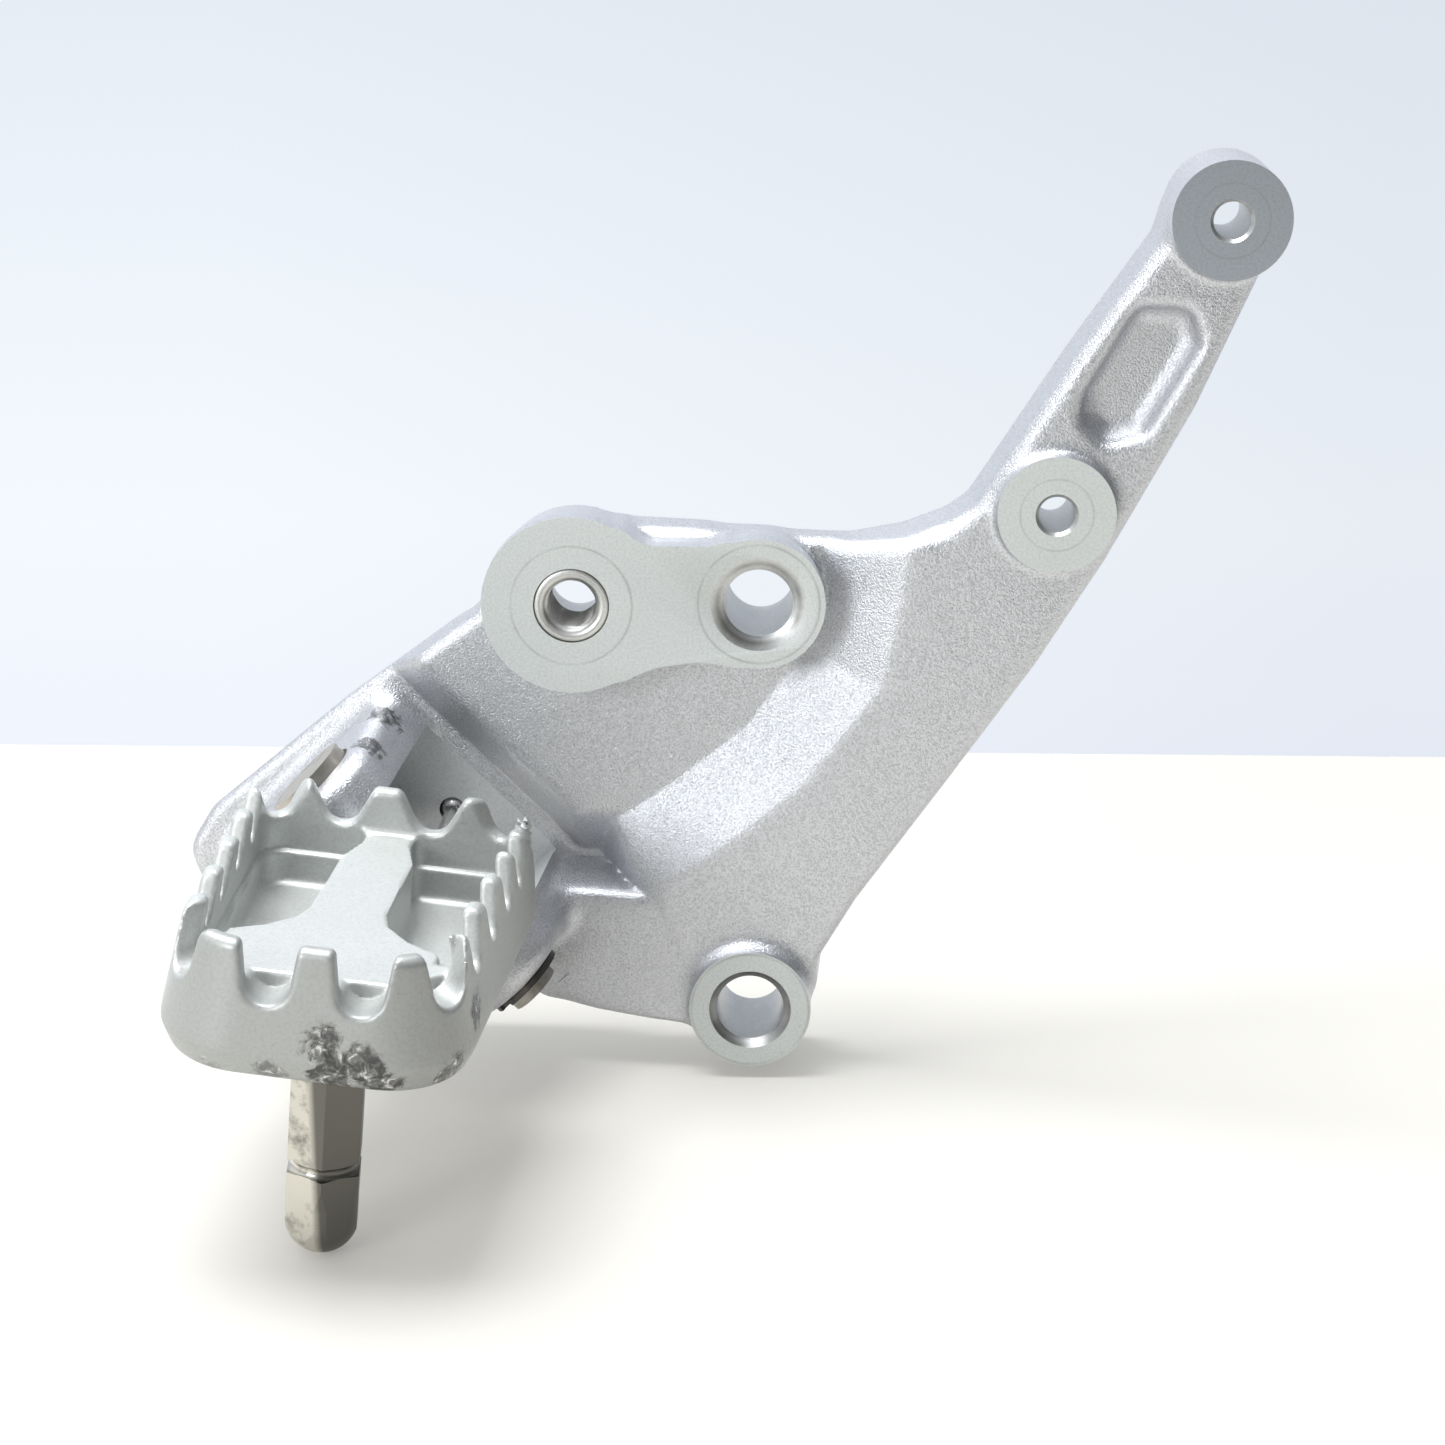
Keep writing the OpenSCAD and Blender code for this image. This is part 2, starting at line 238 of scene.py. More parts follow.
# ---------------------------------------------------------------- bracket
ARM = [[72.2, 73], [69.8, 66], [55.3, 45], [38, 17.8], [34, 15], [26.3, 12], [16.7, 10.2], [-10, 10.8],
       [-10, -40], [-24, -57], [-13, -86], [12, -77], [12.2, -71], [19.2, -59.1], [33.8, -38.4],
       [51.6, -12.8], [63.7, 7.1], [78.8, 35.4], [91.8, 65.5]]
WEB = [[-10, 10.8], [-34, 12], [-53.7, -6.3], [-66, -15.5], [-62.2, -18], [-37, -43.3], [-33.5, -48],
       [-24, -48], [26, -25], [26, 5]]
LOW_WEB = [[-38, -57], [-22, -57.5], [-12, -56], [2, -62], [-2, -80], [-10, -86.2], [-20.8, -84.8],
           [-41.1, -82], [-50, -76], [-43, -66]]
RIB = [[73, 70], [69.6, 62.5], [44.2, 24.5], [33.8, 10.8], [29.5, 10.2], [26.8, 9.5], [26.0, 0.2],
       [22.4, -16.9], [7.8, -36.3], [-7.1, -48.4], [-18.7, -56.5], [-15, -70], [-9, -80], [-2, -88],
       [12, -77], [12.2, -71], [19.2, -59.1], [33.8, -38.4], [51.6, -12.8], [63.7, 7.1], [78.8, 35.4],
       [91.8, 65.5]]
CLEVIS = [[-53.7, -6.3], [-77.9, -24.2], [-104.7, -46.6], [-109.5, -54.5], [-107, -61.5], [-60, -83],
          [-41.1, -82], [-24, -70], [-24, -40], [-44, -12]]
WAIST = [[-25, 13.1], [-22.5, 11.4], [-20, 10.8], [-9, 10.8], [-6, 11.2], [0, 5], [0, -5], [-4, -11.5],
         [-12, -11.1], [-18, -12], [-25, -14.3], [-30, -10], [-30, 10]]


def bracket_field(x, y, z):
    xz = (x, z)
    areas = ((WEB, 5), (LOW_WEB, 4), (RIB, 6), (CLEVIS, 6))
    web, low, rib, cle = (poly(eased(p, r), *xz) for p, r in areas)
    outline = np.minimum(np.minimum(poly(eased(ARM, 7), *xz), web), np.minimum(low, cle))
    outline = np.minimum(outline, poly([[-42, -20], [-42, -66], [-10, -66], [0, -20]], *xz))
    outline = smin(outline, np.minimum(web, cle), 3)
    # depth of the front skin: the recessed web, the rib, the lower web and the clevis level
    facet = (x + 38.2) * -0.757 + (z + 75.1) * -0.653
    wall = (x + 49) * -0.71 + (z + 29.6) * -0.704
    cheek = (x + 28.7) * -0.91 + (z + 43) * -0.41
    f_web = WEB_FRONT + np.maximum(1.25 * soft(wall, 1.2), 0.8 * soft(-43.5 - z, 1.2))
    f_rib = RIB_FRONT + 0.46 * soft(rib, 0.8) + 1.5 * soft(cheek, 1.0)
    f_low = LOW_FRONT + 5.0 * soft(low + 0.3, 0.8) + 0.5 * soft(facet, 1.5) + 0.12 * soft(-20 - x, 3.0)
    front = smin(f_web, f_rib, 2.2)
    front = smin(front, f_low, 3.0)
    front = smin(front, CLEVIS_FRONT + 0 * front, 4.0)
    gx, gz = np.gradient(front[:, 0, :], x[1, 0, 0] - x[0, 0, 0])
    steep = np.sqrt(1 + gx * gx + gz * gz)[:, None, :]
    back = BACK + 4 * np.clip(0.5 - np.minimum(web, low) / 4, 0, 1)
    back = np.maximum(back, BACK + 9 * np.clip(0.5 - cle / 5, 0, 1))
    body = smax((front - y) / steep, y - back, 2.0)
    body = smax(body, outline + 0.07 * (BACK - y), 2.4)
    # pocket of the arm, with filleted walls
    pocket = poly(eased([[66.5, 55.0], [77.2, 54.6], [79.4, 47.5], [69.5, 30.2], [61.4, 28.2], [56.6, 33.6],
                         [57.4, 39]], 4.5), x, z) + 0.45 * (y - 2.5)
    body = smax(body, -smax(pocket, y - 6.9, 2.4), 1.3)
    # the double boss, waisted between its two lobes
    face = np.minimum(disc(INSERT, 16.5, x, z), disc((0, 0), 12.2, x, z))
    face = smin(face, poly(WAIST, x, z), 2.0)
    lobe = np.where(y < 3.5, face, face + 0.12 * (y - 3.5))
    body = smin(body, np.maximum(lobe, np.maximum(-1.2 - y, y - BACK)), 1.2)
    for at, r, deep, k in ((LOW, 11.5, 21.5, 3.0), (MID, 10.7, BACK, 1.6), (TOP, 10.6, BACK, 1.6)):
        boss = np.maximum(disc(at, r, x, z), np.maximum(-1.2 - y, y - deep))
        body = smin(body, boss, k)
    # the two ears of the clevis
    q = np.stack(np.broadcast_arrays(x - PIN_AT[0], y - PIN_AT[1], z - PIN_AT[2]), -1)
    q = q @ CLEVIS_R.astype(np.float32)
    cx, cy, cz = q[..., 0], q[..., 1], q[..., 2]
    for side, foot in ((-1, 30), (1, 13)):
        prof = poly([[29, 17.3], [21, 17.3], [0, 12.5], [0, -12.5], [21, -foot], [29, -foot]], cy, cz)
        prof = np.minimum(prof, np.hypot(cy, cz) - 12.5)
        flat = np.maximum(side * cx - EAR_OUT - 0.05 * np.maximum(cy, 0), 14 - side * cx)
        ear = smax(prof, flat, 3.6)
        ear = np.maximum(ear, cy - 27)
        body = smin(body, ear, 3.0)
    return body


def bore(at, r, deep, wide, k):
    """Cutter for a bore along Y with a chamfer, wide mm wide and k mm deep."""
    return lathe([(r + wide + 1, -1), (r + wide, 0), (r, k), (r, deep)], (at[0], 0, at[1]))


def build_bracket():
    h = 0.7
    lo, hi = (-113, -17, -94), (97, 30, 84)
    x, y, z = axes(lo, hi, h)
    o = field_mesh("bracket_casting", bracket_field(x, y, z), lo, h)
    s = turn(z=-90)  # lathe axis Y to clevis X
    pin_r = CLEVIS_R @ s
    seat = [(7.25, -1), (6.95, 0), (6.86, 0.35), (6.86, 13.7), (5.37, 13.7), (5.37, 40)]
    cuts = [
        block((-56, -8, -24), (18, 0, 21)),
        lathe([(15, -8), (15, 0)], (LOW[0], 0, LOW[1])),
        lathe([(14, -8), (14, 0)], (MID[0], 0, MID[1])),
        lathe([(14, -8), (14, 0)], (TOP[0], 0, TOP[1])),
        bore((0, 0), 6.25, 40, 2.5, 1.25),
        bore(LOW, 6.35, 40, 1.4, 1.4),
        bore(MID, 3.3, 40, 0.6, 0.6),
        bore(TOP, 3.3, 40, 0.6, 0.6),
        lathe(seat, (INSERT[0], 0, INSERT[1])),
        block((-SLOT, -60, -60), (SLOT, 21, 17.3), CLEVIS_R, PIN_AT),
        lathe([(5.06, -60), (5.06, 60)], PIN_AT, pin_r),
        lathe([(8.8, -60), (8.8, -EAR_OUT + 0.6)], PIN_AT, pin_r),
        lathe([(8.8, EAR_OUT - 0.6), (8.8, EAR_OUT + 8)], PIN_AT, pin_r),
        lathe([(2.5, 20), (2.5, 26)], PIN_AT + CLEVIS_R @ SPRING_HOLE, CLEVIS_R),
    ]
    cut(o, cuts)
    finish_mesh(o)
    return o


def build_insert():
    """Tapped steel insert: chamfered collar with a 1.25 mm thread running through it."""
    n, pitch, depth = 96, 1.25, 13.7
    ang = np.linspace(0, 2 * math.pi, n, endpoint=False)
    outer = [(6.86, depth), (6.86, 0.25), (6.62, 0.0), (5.45, 0.0), (4.95, 0.55)]
    rows = [np.stack([r * np.cos(ang), np.full(n, y), r * np.sin(ang)], 1) for r, y in outer]
    for y in np.arange(0.9, depth - 0.3, pitch / 8):
        ph = (y / pitch - ang / (2 * math.pi)) % 1
        r = 4.38 + 0.62 * np.clip(1.15 - 2.3 * np.abs(ph - 0.5), 0, 1) * min(1.0, (y - 0.5) / 1.2)
        rows.append(np.stack([r * np.cos(ang), np.full(n, y), r * np.sin(ang)], 1))
    rows.append(np.stack([4.7 * np.cos(ang), np.full(n, depth), 4.7 * np.sin(ang)], 1))
    m = len(rows)
    v = np.concatenate(rows) + np.array([INSERT[0], 0, INSERT[1]])
    faces = [[k * n + i, k * n + (i + 1) % n, ((k + 1) % m) * n + (i + 1) % n, ((k + 1) % m) * n + i]
             for k in range(m) for i in range(n)]
    o = solid(v, faces)
    o.name = "tapped_insert"
    finish_mesh(o, 50)
    return o


def build_spring_end():
    """Domed end of the spring's anchor, seen in the hole in the slot floor."""
    dome = [(2.42 * math.sin(a), 22.9 - 2.42 * math.cos(a)) for a in np.linspace(0.02, math.pi / 2, 14)]
    o = lathe([*dome, (2.42, 25.9), (0.05, 25.9)], PIN_AT + CLEVIS_R @ SPRING_HOLE, CLEVIS_R)
    o.name = "spring_anchor"
    finish_mesh(o)
    return o


# ---------------------------------------------------------------- foot peg
def taper_plan(x, y, front, front_r, rear, rear_r):
    """Outline of the ring: the hull of a pair of front circles and a pair of rear circles."""
    dx, dy = rear[0] - front[0], rear[1] - front[1]
    tilt = math.atan2(dy, dx) - math.acos((front_r - rear_r) / math.hypot(dx, dy))
    nx, ny = math.cos(tilt), math.sin(tilt)
    ax = np.abs(x)
    side = (ax - front[0]) * nx + (y - front[1]) * ny - front_r
    along = (ax - front[0]) * -ny + (y - front[1]) * nx
    d = np.where(along < 0, np.hypot(ax - front[0], y - front[1]) - front_r, side)
    d = np.where(along > dx * -ny + dy * nx, np.hypot(ax - rear[0], y - rear[1]) - rear_r, d)
    mid = front[1] + 20
    d = np.where((ax < front[0]) & (y < mid), np.maximum(front[1] - front_r - y, side), d)
    return np.where((ax < rear[0]) & (y > mid), np.maximum(y - rear[1] - rear_r, side), d)


# notches of the teeth: place, turn, depth, radius, how far they reach each way, flare
NOTCHES = [
    (-6.4, 0, 0, 10.0, 3.9, 6.2, 8), (8.9, 0, 0, 10.0, 3.9, 6.2, 8),
    (-20, 8, -48, 9.6, 3.9, 5.5, 8), (21.8, 7.2, 45, 9.6, 3.7, 5.5, 12),
    (-24, 21.8, 90, 8.6, 2.8, 6, 14), (-25, 34.2, 90, 8.4, 2.7, 6, 16), (-26, 47.2, 90, 8.2, 2.7, 6, 16),
    (-26, 59.5, 90, 8.0, 2.7, 6, 16), (24, 19.2, 90, 8.6, 2.7, 6, 16), (25, 32.2, 90, 8.4, 2.7, 6, 16),
    (26, 44.4, 90, 8.2, 2.7, 6, 16), (26, 54.4, 90, 8.0, 2.3, 6, 16), (-21.5, 71, 30, 7.0, 2.8, 7, 24),
    (-9.8, 73, 0, 7.4, 3.6, 7, 26), (6.6, 73, 0, 7.4, 3.6, 7, 26), (19.6, 71, -35, 6.4, 3.0, 7, 20)]


def notch(x, y, z, px, py, angle, depth, r, reach, flare):
    ca, sa = math.cos(math.radians(angle)), math.sin(math.radians(angle))
    cf, sf = math.cos(math.radians(flare)), math.sin(math.radians(flare))
    a = np.abs((x - px) * ca + (y - py) * sa)
    w = z + depth - r
    d = np.where(a * sf + w * cf > 0, a * cf - w * sf - r, np.hypot(a, w) - r)
    return np.maximum(d, np.abs((py - y) * ca + (x - px) * sa) - reach)


def peg_field(x, y, z):
    """x right, y inboard from the outer end, z up from the tooth tips."""
    top = taper_plan(x, y, (9.8, 13.3), 13.4, (17.0, 65), 8.7)
    wide = taper_plan(x, y, (11.2, 13.0), 15.2, (18.5, 65), 9.0)
    upper = top + (wide - top) * np.clip(-z / 18.5, -0.2, 1.0)
    lower = wide + 2.3 * np.clip((-z - 18.5) / 5, 0, 1.2)
    body = smax(smax(upper, lower, 0.5), np.maximum(z, -23.5 - z), 1.5)
    # front deck, and the spine that runs from it to the inner wall between two deep recesses
    half = np.interp(y.ravel(), [8, 17, 24, 29, 34, 58, 66, 73], [60, 24, 12.0, 8.0, 6.6, 6.4, 4.4, 4.3])
    spine = (np.abs(x + 0.3) - half.reshape(y.shape).astype(np.float32)) * 0.9
    deck = -7.3 - 1.0 * np.clip((y - 25) / 40, 0, 1)
    basin = smax(upper + 3.4, deck - z, 1.6)
    wall = upper + 3.4 + 1.3 * np.clip((-13.2 - z) / 0.6, 0, 1)
    recess = smax(smax(wall, -spine, 2.0), -19.6 - z, 2.2)
    hollow = smin(basin, recess, 0.3)
    body = smax(body, -hollow, 1.5)
    cuts = notch(x, y, z, *NOTCHES[0])
    for n in NOTCHES[1:]:
        cuts = np.minimum(cuts, notch(x, y, z, *n))
    body = smax(body, -cuts, 0.8)
    # knocked inner corner, torn and rough
    near = np.exp(-((x - 23.5) ** 2 + (y - 67) ** 2 + (z + 2) ** 2) / 26)
    torn = np.sin(2.3 * x + 1.1 * z) * np.sin(1.9 * y + 0.7 * x)
    torn = torn + 0.6 * np.sin(3.9 * z + 2.7 * y) * np.sin(3.3 * x)
    body = body + near * (1.1 + 0.9 * torn)
    # hub on the pin and its neck
    q = np.stack(np.broadcast_arrays(x, y, z), -1) @ PEG_R.T.astype(np.float32)
    q = (q + (PEG_AT - PIN_AT).astype(np.float32)) @ CLEVIS_R.astype(np.float32)
    cx, cy, cz = q[..., 0], q[..., 1], q[..., 2]
    flat = np.abs(cx) - 16.9
    hub = smax(np.hypot(cy, cz) - 8.5, flat, 0.8)
    neck = smax(np.maximum(np.abs(cz) - 7.5, np.maximum(cy, -18.6 - cy)), flat, 0.8)
    heel = smax(np.maximum(np.maximum(-cy, cy - 20.6), np.maximum(-8.5 - cz, cz + 3.5)), flat, 0.8)
    hub = smin(smin(hub, neck, 2.0), heel, 2.0)
    room = np.maximum(np.abs(cx - 3.2) - 6.5, -11 - cy)
    hub = smax(hub, -room, 0.6)
    # the neck stops inside the ring's inner wall
    hub = np.maximum(hub, 72.0 - y)
    body = smin(body, hub, 2.0)
    return smax(body, -np.maximum(room, np.abs(cz) - 9.5), 0.4)


def build_peg():
    h = 0.45
    lo, hi = (-31, -4, -29), (31, 114, 22)
    x, y, z = axes(lo, hi, h)
    o = field_mesh("peg_casting", peg_field(x, y, z), lo, h, (PEG_R, PEG_AT))
    pin_r = CLEVIS_R @ turn(z=-90)
    peg_up = PEG_R @ turn(x=90)
    at = PEG_R @ np.array([1.6, 14.5, -23.5]) + PEG_AT
    cut(o, [lathe([(5.06, -40), (5.06, 40)], PIN_AT, pin_r), lathe([(4.0, -3), (4.0, 11)], at, peg_up)])
    finish_mesh(o)
    return o


# ---------------------------------------------------------------- materials
class Nodes:
    """Short way to lay out a node tree."""

    def __init__(self, name):
        self.mat = bpy.data.materials.new(name)
        self.mat.use_nodes = True
        self.t = self.mat.node_tree
        self.bsdf = self.t.nodes["Principled BSDF"]
        self.co = self.t.nodes.new("ShaderNodeTexCoord").outputs["Object"]

    def put(self, socket, value):
        if isinstance(value, bpy.types.NodeSocket):
            self.t.links.new(value, socket)
        else:
            socket.default_value = value

    def new(self, kind, ins=(), **props):
        n = self.t.nodes.new(kind)
        for k, v in props.items():
            setattr(n, k, v)
        for k, v in dict(ins).items():
            self.put(n.inputs[k], v)
        return n

    def math(self, op, a, b=0.0, clamp=False):
        n = self.new("ShaderNodeMath", operation=op, use_clamp=clamp)
        self.put(n.inputs[0], a)
        self.put(n.inputs[1], b)
        return n.outputs[0]

    def noise(self, scale, detail=4, rough=0.5, co=None, dist=0.0):
        n = self.new("ShaderNodeTexNoise", {"Vector": co or self.co, "Scale": scale, "Detail": detail,
                                            "Roughness": rough, "Distortion": dist})
        return n.outputs["Fac"]

    def ramp(self, fac, stops):
        n = self.new("ShaderNodeValToRGB", {"Fac": fac})
        r = n.color_ramp
        while len(r.elements) < len(stops):
            r.elements.new(0.5)
        for e, (p, c) in zip(r.elements, stops):
            e.position = p
            e.color = (*c, 1) if isinstance(c, tuple) else (c, c, c, 1)
        return n.outputs["Color"]

    def mix(self, fac, a, b):
        n = self.new("ShaderNodeMix", data_type="RGBA")
        self.put(n.inputs[0], fac)
        for i, v in ((6, a), (7, b)):
            self.put(n.inputs[i], v if isinstance(v, bpy.types.NodeSocket) else (*v, 1))
        return n.outputs[2]

    def far(self, at, r, soft_mm):
        """0 within r mm of a point, 1 beyond r + soft mm."""
        n = self.new("ShaderNodeVectorMath", {"Vector": self.co}, operation="DISTANCE")
        n.inputs[1].default_value = Vector(at) * 0.001
        m = self.new("ShaderNodeMapRange", {"Value": n.outputs["Value"], "From Min": r * 0.001,
                                            "From Max": (r + soft_mm) * 0.001})
        return m.outputs["Result"]

    def bump(self, height, strength, dist_mm, normal=None):
        n = self.new("ShaderNodeBump", {"Height": height, "Strength": strength,
                                        "Distance": dist_mm * 0.001})
        if normal is not None:
            self.t.links.new(normal, n.inputs["Normal"])
        return n.outputs["Normal"]

    def set(self, **ins):
        for k, v in ins.items():
            self.put(self.bsdf.inputs[k.replace("_", " ")], v)


def cast_paint(name, tint, metal, grain_mm, grain, rough, scuffs=(), dull=()):
    """Silver paint over blasted castings: fine grain, metal flake, soft patches and scuffs.

    Each scuff is (place, size in mm, amount). Each dull row is (place, radius, fade, amount) and paints
    everything beyond that radius darker. It stands for the photo's light and is no wear of the real part.
    """
    n = Nodes(name)
    fine = n.noise(1000 / grain_mm, 2, 0.6)
    flake = n.new("ShaderNodeTexVoronoi", {"Vector": n.co, "Scale": 2600.0}).outputs["Color"]
    patch = n.noise(28, 5, 0.6)
    spark = n.new("ShaderNodeSeparateColor", {"Color": flake}).outputs[0]
    base = n.mix(n.math("MULTIPLY", patch, 0.5), tint, tuple(c * 0.94 for c in tint))
    dark = n.math("MULTIPLY", n.ramp(fine, [(0.36, 1.0), (0.57, 0.0)]), 0.95 * grain)
    base = n.mix(dark, base, tuple(c * 0.62 for c in tint))
    bright = n.math("MULTIPLY", n.ramp(spark, [(0.80, 0.0), (0.92, 1.0)]), 0.15 * grain)
    base = n.mix(bright, base, tuple(min(1, c * 1.5) for c in tint))
    # painted shade: past each dull row's radius the paint is painted darker
    for at, r, soft_mm, amount in dull:
        base = n.mix(n.math("MULTIPLY", n.far(at, r, soft_mm), amount), base, tuple(c * 0.25 for c in tint))
    pits = n.ramp(n.noise(900, 2, 0.5), [(0.72, 0.0), (0.78, 1.0)])
    base = n.mix(n.math("MULTIPLY", pits, 0.35), base, (0.12, 0.12, 0.12))
    r = n.math("ADD", n.math("MULTIPLY", fine, 0.16), rough)
    metallic = metal
    worn = n.noise(330, 6, 0.66, dist=0.8)
    tone = n.ramp(n.noise(520, 5, 0.6, dist=0.6), [(0.44, (0.07, 0.07, 0.07)), (0.56, (0.20, 0.20, 0.20)),
                                                  (0.66, (0.75, 0.75, 0.74))])
    for at, size, amount in scuffs:
        near = n.math("SUBTRACT", 1.0, n.far(at, size * 0.1, size))
        torn = n.math("MULTIPLY", worn, n.math("MULTIPLY", near, 1.7))
        m = n.math("MULTIPLY", n.ramp(torn, [(0.50, 0.0), (0.66, 1.0)]), amount)
        base = n.mix(m, base, tone)
        r = n.math("SUBTRACT", r, n.math("MULTIPLY", m, 0.16))
        metallic = n.math("MAXIMUM", metallic, n.math("MULTIPLY", m, 0.9))
    n.set(Base_Color=base, Metallic=metallic, Roughness=r)
    b = n.bump(fine, min(1.0, grain), 0.3 * grain)
    n.set(Normal=n.bump(n.noise(90, 4, 0.5), 0.2, 0.25, b))
    return n.mat


def machined(name, tint, rings, rough=0.42, metal=0.75, mark=None):
    """Faced or turned metal with fine concentric tool marks round each centre."""
    n = Nodes(name)
    sep = n.new("ShaderNodeSeparateXYZ", {"Vector": n.co})
    x, z = sep.outputs["X"], sep.outputs["Z"]
    near = None
    for cx, cz in rings:
        dx = n.math("SUBTRACT", x, cx * 0.001)
        dz = n.math("SUBTRACT", z, cz * 0.001)
        d = n.math("SQRT", n.math("ADD", n.math("MULTIPLY", dx, dx), n.math("MULTIPLY", dz, dz)))
        near = d if near is None else n.math("MINIMUM", near, d)
    comb = n.new("ShaderNodeCombineXYZ", {"X": near})
    marks = n.noise(2600.0, 3.0, co=comb.outputs[0])
    grain = n.noise(1500, 2)
    patch = n.noise(60, 5, 0.6)
    base = n.mix(n.math("MULTIPLY", patch, 0.6), tint, tuple(c * 0.9 for c in tint))
    specks = n.ramp(n.noise(700, 3), [(0.66, 0.0), (0.75, 1.0)])
    base = n.mix(n.math("MULTIPLY", specks, 0.3), base, (0.3, 0.3, 0.28))
    base = n.mix(n.math("MULTIPLY", n.ramp(n.noise(2200, 2), [(0.35, 1.0), (0.6, 0.0)]), 0.3), base,
                 tuple(c * 0.6 for c in tint))
    r = n.math("ADD", n.math("MULTIPLY", grain, 0.15), rough)
    if mark:
        for radius, width, amount in mark:
            g = n.math("ABSOLUTE", n.math("SUBTRACT", near, radius * 0.001))
            line = n.math("SUBTRACT", 1.0, n.math("DIVIDE", g, width * 0.001), clamp=True)
            broken = n.ramp(n.noise(120, 3), [(0.3, 0.2), (0.6, 1.0)])
            line = n.math("MULTIPLY", n.math("MULTIPLY", line, broken), amount)
            base = n.mix(line, base, (0.25, 0.25, 0.24))
    n.set(Base_Color=base, Metallic=metal, Roughness=r)
    n.set(Normal=n.bump(marks, 0.22, 0.03, n.bump(grain, 0.3, 0.02)))
    return n.mat


def steel(name, tint, rough, stain=0.4, scratch=0.3, painted_reflection_from=None):
    """Bright or plated steel with stains, fine scratches and duller patches.

    painted_reflection_from paints everything beyond that x in mm darker. It stands for the dark room that the photo's
    feeler mirrors, and is no wear of the real part.
    """
    n = Nodes(name)
    stretched = n.new("ShaderNodeMapping", {"Vector": n.co, "Scale": (260, 260, 2600)}).outputs[0]
    lines = n.new("ShaderNodeTexNoise", {"Vector": stretched, "Scale": 1.0, "Detail": 4.0}).outputs["Fac"]
    patch = n.noise(160, 5, 0.65)
    stain_and_painted_reflection = n.math("MULTIPLY", n.ramp(patch, [(0.52, 0.0), (0.72, 1.0)]), stain)
    # painted reflection: past the given x the colour is painted dark, as a mirrored dark room; it joins the
    # stain mask, so that side is also rougher
    if painted_reflection_from is not None:
        x = n.new("ShaderNodeSeparateXYZ", {"Vector": n.co}).outputs["X"]
        side = n.math("MULTIPLY", n.math("SUBTRACT", x, painted_reflection_from * 0.001), 700.0, clamp=True)
        stain_and_painted_reflection = n.math("MAXIMUM", stain_and_painted_reflection, n.math("MULTIPLY", side, 0.95))
    n.set(Base_Color=n.mix(stain_and_painted_reflection, tint, tuple(c * 0.2 for c in tint)), Metallic=1.0)
    dull = n.math("ADD", n.math("MULTIPLY", stain_and_painted_reflection, 0.3), rough)
    n.set(Roughness=n.math("ADD", n.math("MULTIPLY", lines, 0.12), dull))
    n.set(Normal=n.bump(lines, scratch, 0.012))
    return n.mat


def shared_slots(o, mats):
    o.data.materials.clear()
    for m in mats:
        o.data.materials.append(m)


# ---------------------------------------------------------------- build
bracket = build_bracket()
peg = build_peg()
insert = build_insert()
anchor = build_spring_end()

paint = cast_paint("bracket_silver", (0.66, 0.67, 0.70), 0.84, 0.36, 0.75, 0.24, scuffs=[
    (tuple(PIN_AT + CLEVIS_R @ np.array([-24, 13, 14])), 7.5, 0.9),
    (tuple(PIN_AT + CLEVIS_R @ np.array([-24, 1, 12])), 6.5, 0.8)])
faced = machined("boss_facing", (0.68, 0.71, 0.70), [(0, 0), INSERT, LOW, MID, TOP], 0.5, 0.45,
                 mark=[(11.1, 0.35, 0.5), (6.6, 0.3, 0.35)])
bare = machined("top_boss_facing", (0.50, 0.54, 0.60), [TOP], 0.27, 0.95,
                mark=[(6.6, 0.3, 0.3), (13.3, 0.5, 0.6)])
turned = machined("bore_wall", (0.62, 0.63, 0.63), [(0, 0), INSERT, LOW, MID, TOP], 0.3, 0.95,
                  mark=[(7.5, 1.0, 0.95), (6.5, 0.3, 0.6)])
slot_mat = machined("slot_milled", (0.80, 0.82, 0.83), [(-64, -40)], 0.42, 0.5)
shared_slots(bracket, [paint, faced, bare, turned, slot_mat])

me = bracket.data
cen = np.empty(len(me.polygons) * 3, np.float32)
nor = np.empty(len(me.polygons) * 3, np.float32)
me.polygons.foreach_get("center", cen)
me.polygons.foreach_get("normal", nor)
cen, nor = cen.reshape(-1, 3) * 1000, nor.reshape(-1, 3)
idx = np.zeros(len(cen), np.int32)
on_face = (np.abs(cen[:, 1]) < 0.02) & (nor[:, 1] < -0.99)
idx[on_face] = 1
idx[on_face & (np.hypot(cen[:, 0] - TOP[0], cen[:, 2] - TOP[1]) < 14)] = 2
for (bx, bz), r in (((0, 0), 8.9), (LOW, 7.85), (MID, 3.95), (TOP, 3.95), (INSERT, 7.0)):
    near = np.hypot(cen[:, 0] - bx, cen[:, 2] - bz) < r
    idx[near & (nor[:, 1] > -0.98)] = 3
q = (cen - PIN_AT) @ CLEVIS_R
qn = nor @ CLEVIS_R
inside = (np.abs(q[:, 0]) < SLOT + 0.05) & (q[:, 1] < 21.05) & (q[:, 2] < 17.35)
flat = (np.abs(qn).max(axis=1) > 0.999)
idx[inside & flat & ((np.abs(np.abs(q[:, 0]) - SLOT) < 0.03) | (np.abs(q[:, 1] - 21) < 0.03))] = 4
me.polygons.foreach_set("material_index", idx)



def on_peg(u, v, w):
    """Place in the peg's own frame, as a place in the row."""
    return tuple(PEG_R @ np.array([u, v, w]) + PEG_AT)


